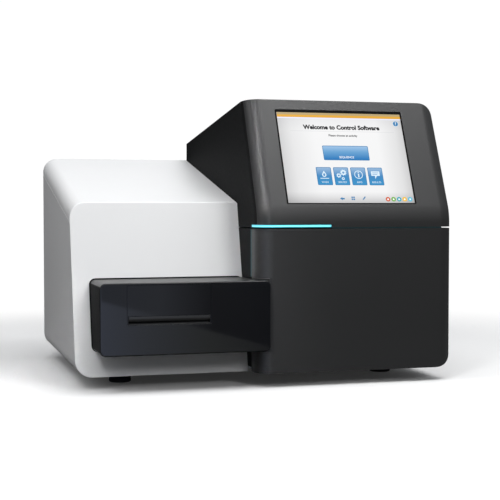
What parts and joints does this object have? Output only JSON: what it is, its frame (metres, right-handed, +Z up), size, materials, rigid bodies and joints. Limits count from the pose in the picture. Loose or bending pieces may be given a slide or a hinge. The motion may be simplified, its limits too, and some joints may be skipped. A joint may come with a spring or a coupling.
{
  "type": "benchtop dna sequencer",
  "caption": "Benchtop sequencing instrument with a white optics module behind a lift-up black visor, and a dark reagent module with a sloping touch screen, light bar and side-hinged door.",
  "frame": {"origin": "on the bench under the middle of the whole object", "axes": "+X to the right seen from the front, +Y to the back, +Z up"},
  "size_m": [0.686, 0.565, 0.5144],
  "materials": {
    "white_cover": "satin powder coat",
    "grey_panel": "fine-textured powder coat",
    "dark_cover": "fine spark-eroded texture",
    "visor_black": "polished, smoked",
    "status_light": "diffusing light guide, lit cyan",
    "screen_glass": "touch panel with a lit display behind it",
    "black_trim": "moulded, black",
    "rubber_foot": "matt",
    "zinc_steel": "zinc-plated sheet",
    "black_steel": "black oxide",
    "machined_aluminium": "machined, clear anodised",
    "inner_grey": "light grey powder coat",
    "clear_glass": "polished",
    "cartridge_plastic": "natural polypropylene",
    "bottle_plastic": "translucent polypropylene",
    "cap_blue": "moulded",
    "button_orange": "moulded"
  },
  "bodies": {
    "chassis": {"base_pan": "zinc_steel", "foot_front_left": "rubber_foot", "foot_front_right": "rubber_foot", "foot_rear_left": "rubber_foot", "foot_rear_right": "rubber_foot", "optics_fascia": "white_cover", "optics_top_cover": "white_cover", "optics_side_panel": "grey_panel", "optics_frame_left": "zinc_steel", "optics_frame_right": "zinc_steel", "flow_cell_bay": "inner_grey", "stage_base": "machined_aluminium", "optics_block": "machined_aluminium", "upper_shell": "dark_cover", "screen_gasket": "black_trim", "touch_screen": "screen_glass", "display_module": "black_steel", "status_light_bar": "status_light", "partition_wall": "dark_cover", "right_side_panel": "dark_cover", "landing_post": "dark_cover", "rear_panel_optics": "zinc_steel", "rear_panel_reagent": "zinc_steel", "fan_frame": "black_trim", "power_inlet": "black_trim", "network_socket": "zinc_steel", "usb_socket": "zinc_steel", "frame_hinge_leaf": "zinc_steel", "hinge_pin": "zinc_steel", "door_magnet": "black_trim", "reagent_bay": "inner_grey", "reagent_chiller": "inner_grey", "sipper_guide_left": "zinc_steel", "sipper_guide_right": "zinc_steel"},
    "visor": {"visor_shell": "visor_black", "visor_grip": "visor_black", "visor_shaft": "zinc_steel", "visor_arm_left": "black_steel", "visor_arm_right": "black_steel"},
    "door": {"reagent_door": "dark_cover", "door_hinge_leaf": "zinc_steel", "door_catch_plate": "zinc_steel"},
    "stage_y": {"stage_y_carriage": "machined_aluminium"},
    "stage_x": {"stage_x_carriage": "machined_aluminium", "thermal_station": "machined_aluminium"},
    "flow_cell": {"flow_cell_carrier": "cartridge_plastic", "flow_cell_glass": "clear_glass"},
    "latch": {"flow_cell_latch": "black_trim"},
    "button": {"release_button": "button_orange"},
    "objective": {"objective_lens": "black_steel"},
    "drawer": {"reagent_tray": "black_trim", "reagent_cartridge": "cartridge_plastic"},
    "wash": {"wash_bottle": "bottle_plastic", "wash_bottle_cap": "cap_blue"},
    "waste": {"waste_bottle": "bottle_plastic", "waste_bottle_cap": "button_orange"},
    "sipper": {"sipper_bar": "machined_aluminium"},
    "lever": {"sipper_lever": "black_trim"},
    "fan": {"fan_rotor": "black_trim"},
    "switch": {"power_switch": "black_trim"}
  },
  "joints": [
    {"name": "visor_hinge", "type": "hinge", "parent": "chassis", "child": "visor", "pos_m": [0, -0.125, 0.253], "axis": [-1, 0, 0], "range_deg": [0, 55]},
    {"name": "door_hinge", "type": "hinge", "parent": "chassis", "child": "door", "pos_m": [0.3352, -0.228, 0.15], "axis": [0, 0, 1], "range_deg": [0, 90]},
    {"name": "stage_y_slide", "type": "slide", "parent": "chassis", "child": "stage_y", "axis": [0, 1, 0], "range_m": [-0.018, 0.026]},
    {"name": "stage_x_slide", "type": "slide", "parent": "stage_y", "child": "stage_x", "axis": [1, 0, 0], "range_m": [-0.015, 0.015]},
    {"name": "flow_cell_slide", "type": "slide", "parent": "stage_x", "child": "flow_cell", "axis": [0, -1, 0], "range_m": [0, 0.07]},
    {"name": "latch_hinge", "type": "hinge", "parent": "stage_x", "child": "latch", "pos_m": [-0.175, -0.072, 0.121], "axis": [-1, 0, 0], "range_deg": [0, 70]},
    {"name": "button_press", "type": "slide", "parent": "stage_x", "child": "button", "axis": [0, 1, 0], "range_m": [0, 0.003], "stiffness_N_per_m": 150},
    {"name": "focus_slide", "type": "slide", "parent": "chassis", "child": "objective", "axis": [0, 0, 1], "range_m": [-0.003, 0.003]},
    {"name": "drawer_slide", "type": "slide", "parent": "chassis", "child": "drawer", "axis": [0, -1, 0], "range_m": [0, 0.05]},
    {"name": "wash_bottle_slide", "type": "slide", "parent": "chassis", "child": "wash", "axis": [0, -1, 0], "range_m": [0, 0.1]},
    {"name": "waste_bottle_slide", "type": "slide", "parent": "chassis", "child": "waste", "axis": [0, -1, 0], "range_m": [0, 0.1]},
    {"name": "lever_hinge", "type": "hinge", "parent": "chassis", "child": "lever", "pos_m": [0.235, -0.15, 0.24], "axis": [1, 0, 0], "range_deg": [0, 60]},
    {"name": "sipper_lift", "type": "slide", "parent": "chassis", "child": "sipper", "axis": [0, 0, -1], "range_m": [0, 0.035]},
    {"name": "fan_spin", "type": "hinge", "parent": "chassis", "child": "fan", "pos_m": [0.15, 0.261, 0.17], "axis": [0, 1, 0], "continuous": true},
    {"name": "switch_rock", "type": "hinge", "parent": "chassis", "child": "switch", "pos_m": [0.278, 0.276, 0.076], "axis": [1, 0, 0], "range_deg": [-8, 8]}
  ],
  "couplings": [
    {"joint": "sipper_lift", "follows": "lever_hinge", "m_per_rad": 0.0334}
  ]
}
